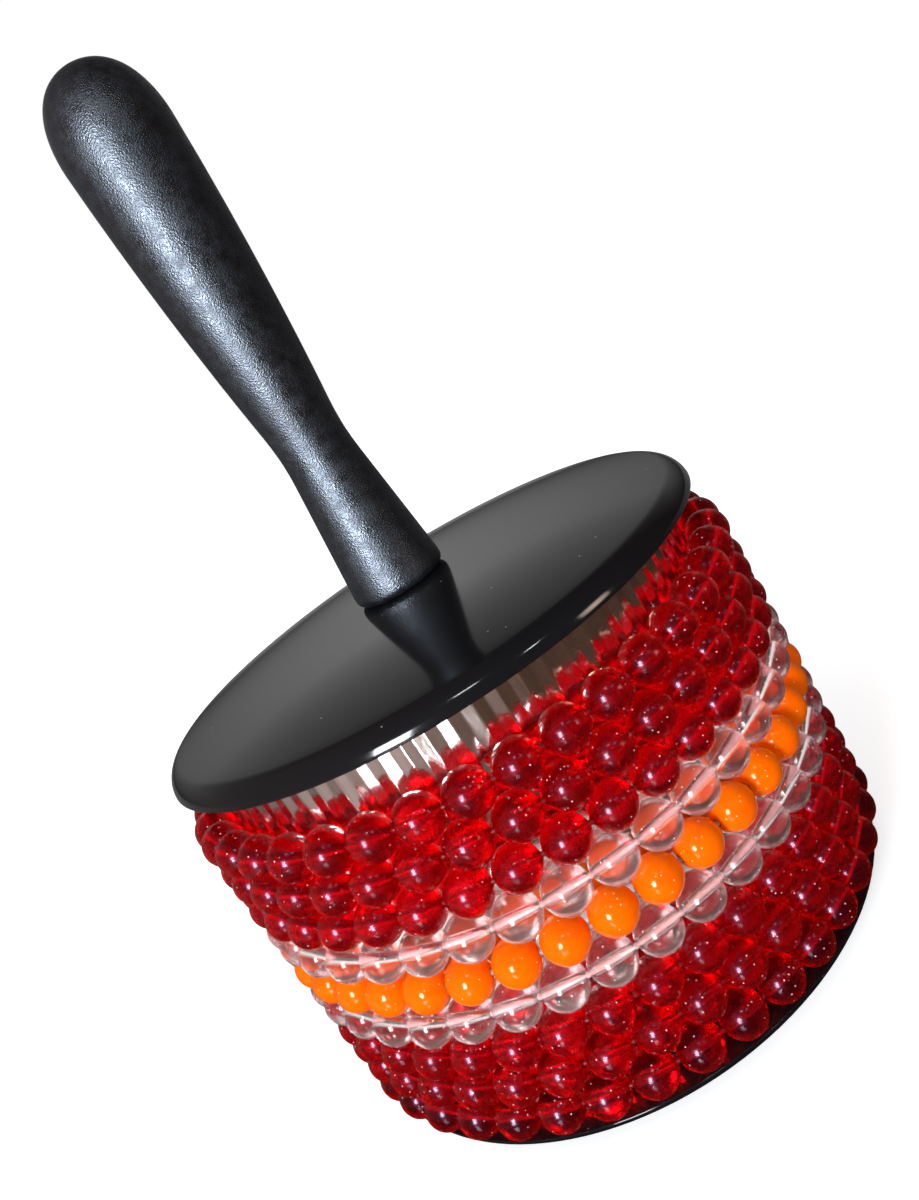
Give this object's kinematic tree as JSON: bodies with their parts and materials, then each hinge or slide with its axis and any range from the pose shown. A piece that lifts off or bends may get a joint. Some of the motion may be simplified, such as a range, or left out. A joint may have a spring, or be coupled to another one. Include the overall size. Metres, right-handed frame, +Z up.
{
  "type": "cabasa",
  "caption": "Hand percussion instrument: loops of round beads turn around a fluted metal drum that is clamped between two black end discs on a waisted handle.",
  "frame": {"origin": "centre of the lower disc's flat underside, on the drum's axis", "axes": "+Z up along the drum's axis to the handle, -Y the front, where the bead loops lie lowest"},
  "size_m": [0.1454, 0.1454, 0.241],
  "materials": {
    "handle_plastic": "fine pebbled black",
    "disc_plastic": "glossy black",
    "core_plastic": "plain black",
    "sleeve_steel": "bright folded sheet",
    "bolt_steel": "zinc plated",
    "insert_brass": "turned",
    "bead_red": "translucent red",
    "bead_clear": "clear",
    "bead_orange": "opaque glossy orange",
    "cord": "pale elastic cord"
  },
  "bodies": {
    "drum": {"handle": "handle_plastic", "handle_insert": "insert_brass", "upper_disc": "disc_plastic", "lower_disc": "disc_plastic", "drum_core": "core_plastic", "fluted_sleeve": "sleeve_steel", "tie_bolt": "bolt_steel", "bolt_washer": "bolt_steel"},
    "loop_1": {"loop_1_beads": "bead_red", "loop_1_cord": "cord"},
    "loop_2": {"loop_2_beads": "bead_red", "loop_2_cord": "cord"},
    "loop_3": {"loop_3_beads": "bead_red", "loop_3_cord": "cord"},
    "loop_4": {"loop_4_beads": "bead_clear", "loop_4_cord": "cord"},
    "loop_5": {"loop_5_beads": "bead_orange", "loop_5_cord": "cord"},
    "loop_6": {"loop_6_beads": "bead_clear", "loop_6_cord": "cord"},
    "loop_7": {"loop_7_beads": "bead_red", "loop_7_cord": "cord"},
    "loop_8": {"loop_8_beads": "bead_red", "loop_8_cord": "cord"},
    "loop_9": {"loop_9_beads": "bead_red", "loop_9_cord": "cord"}
  },
  "joints": [
    {"name": "loop_1_spin", "type": "hinge", "parent": "drum", "child": "loop_1", "pos_m": [0, 0, 0], "axis": [0, 0, 1], "continuous": true},
    {"name": "loop_2_spin", "type": "hinge", "parent": "drum", "child": "loop_2", "pos_m": [0, 0, 0], "axis": [0, 0, 1], "continuous": true},
    {"name": "loop_3_spin", "type": "hinge", "parent": "drum", "child": "loop_3", "pos_m": [0, 0, 0], "axis": [0, 0, 1], "continuous": true},
    {"name": "loop_4_spin", "type": "hinge", "parent": "drum", "child": "loop_4", "pos_m": [0, 0, 0], "axis": [0, 0, 1], "continuous": true},
    {"name": "loop_5_spin", "type": "hinge", "parent": "drum", "child": "loop_5", "pos_m": [0, 0, 0], "axis": [0, 0, 1], "continuous": true},
    {"name": "loop_6_spin", "type": "hinge", "parent": "drum", "child": "loop_6", "pos_m": [0, 0, 0], "axis": [0, 0, 1], "continuous": true},
    {"name": "loop_7_spin", "type": "hinge", "parent": "drum", "child": "loop_7", "pos_m": [0, 0, 0], "axis": [0, 0, 1], "continuous": true},
    {"name": "loop_8_spin", "type": "hinge", "parent": "drum", "child": "loop_8", "pos_m": [0, 0, 0], "axis": [0, 0, 1], "continuous": true},
    {"name": "loop_9_spin", "type": "hinge", "parent": "drum", "child": "loop_9", "pos_m": [0, 0, 0], "axis": [0, 0, 1], "continuous": true}
  ],
  "couplings": [
    {"joint": "loop_2_spin", "follows": "loop_1_spin", "ratio": 1},
    {"joint": "loop_3_spin", "follows": "loop_1_spin", "ratio": 1},
    {"joint": "loop_4_spin", "follows": "loop_1_spin", "ratio": 1},
    {"joint": "loop_5_spin", "follows": "loop_1_spin", "ratio": 1},
    {"joint": "loop_6_spin", "follows": "loop_1_spin", "ratio": 1},
    {"joint": "loop_7_spin", "follows": "loop_1_spin", "ratio": 1},
    {"joint": "loop_8_spin", "follows": "loop_1_spin", "ratio": 1},
    {"joint": "loop_9_spin", "follows": "loop_1_spin", "ratio": 1}
  ]
}
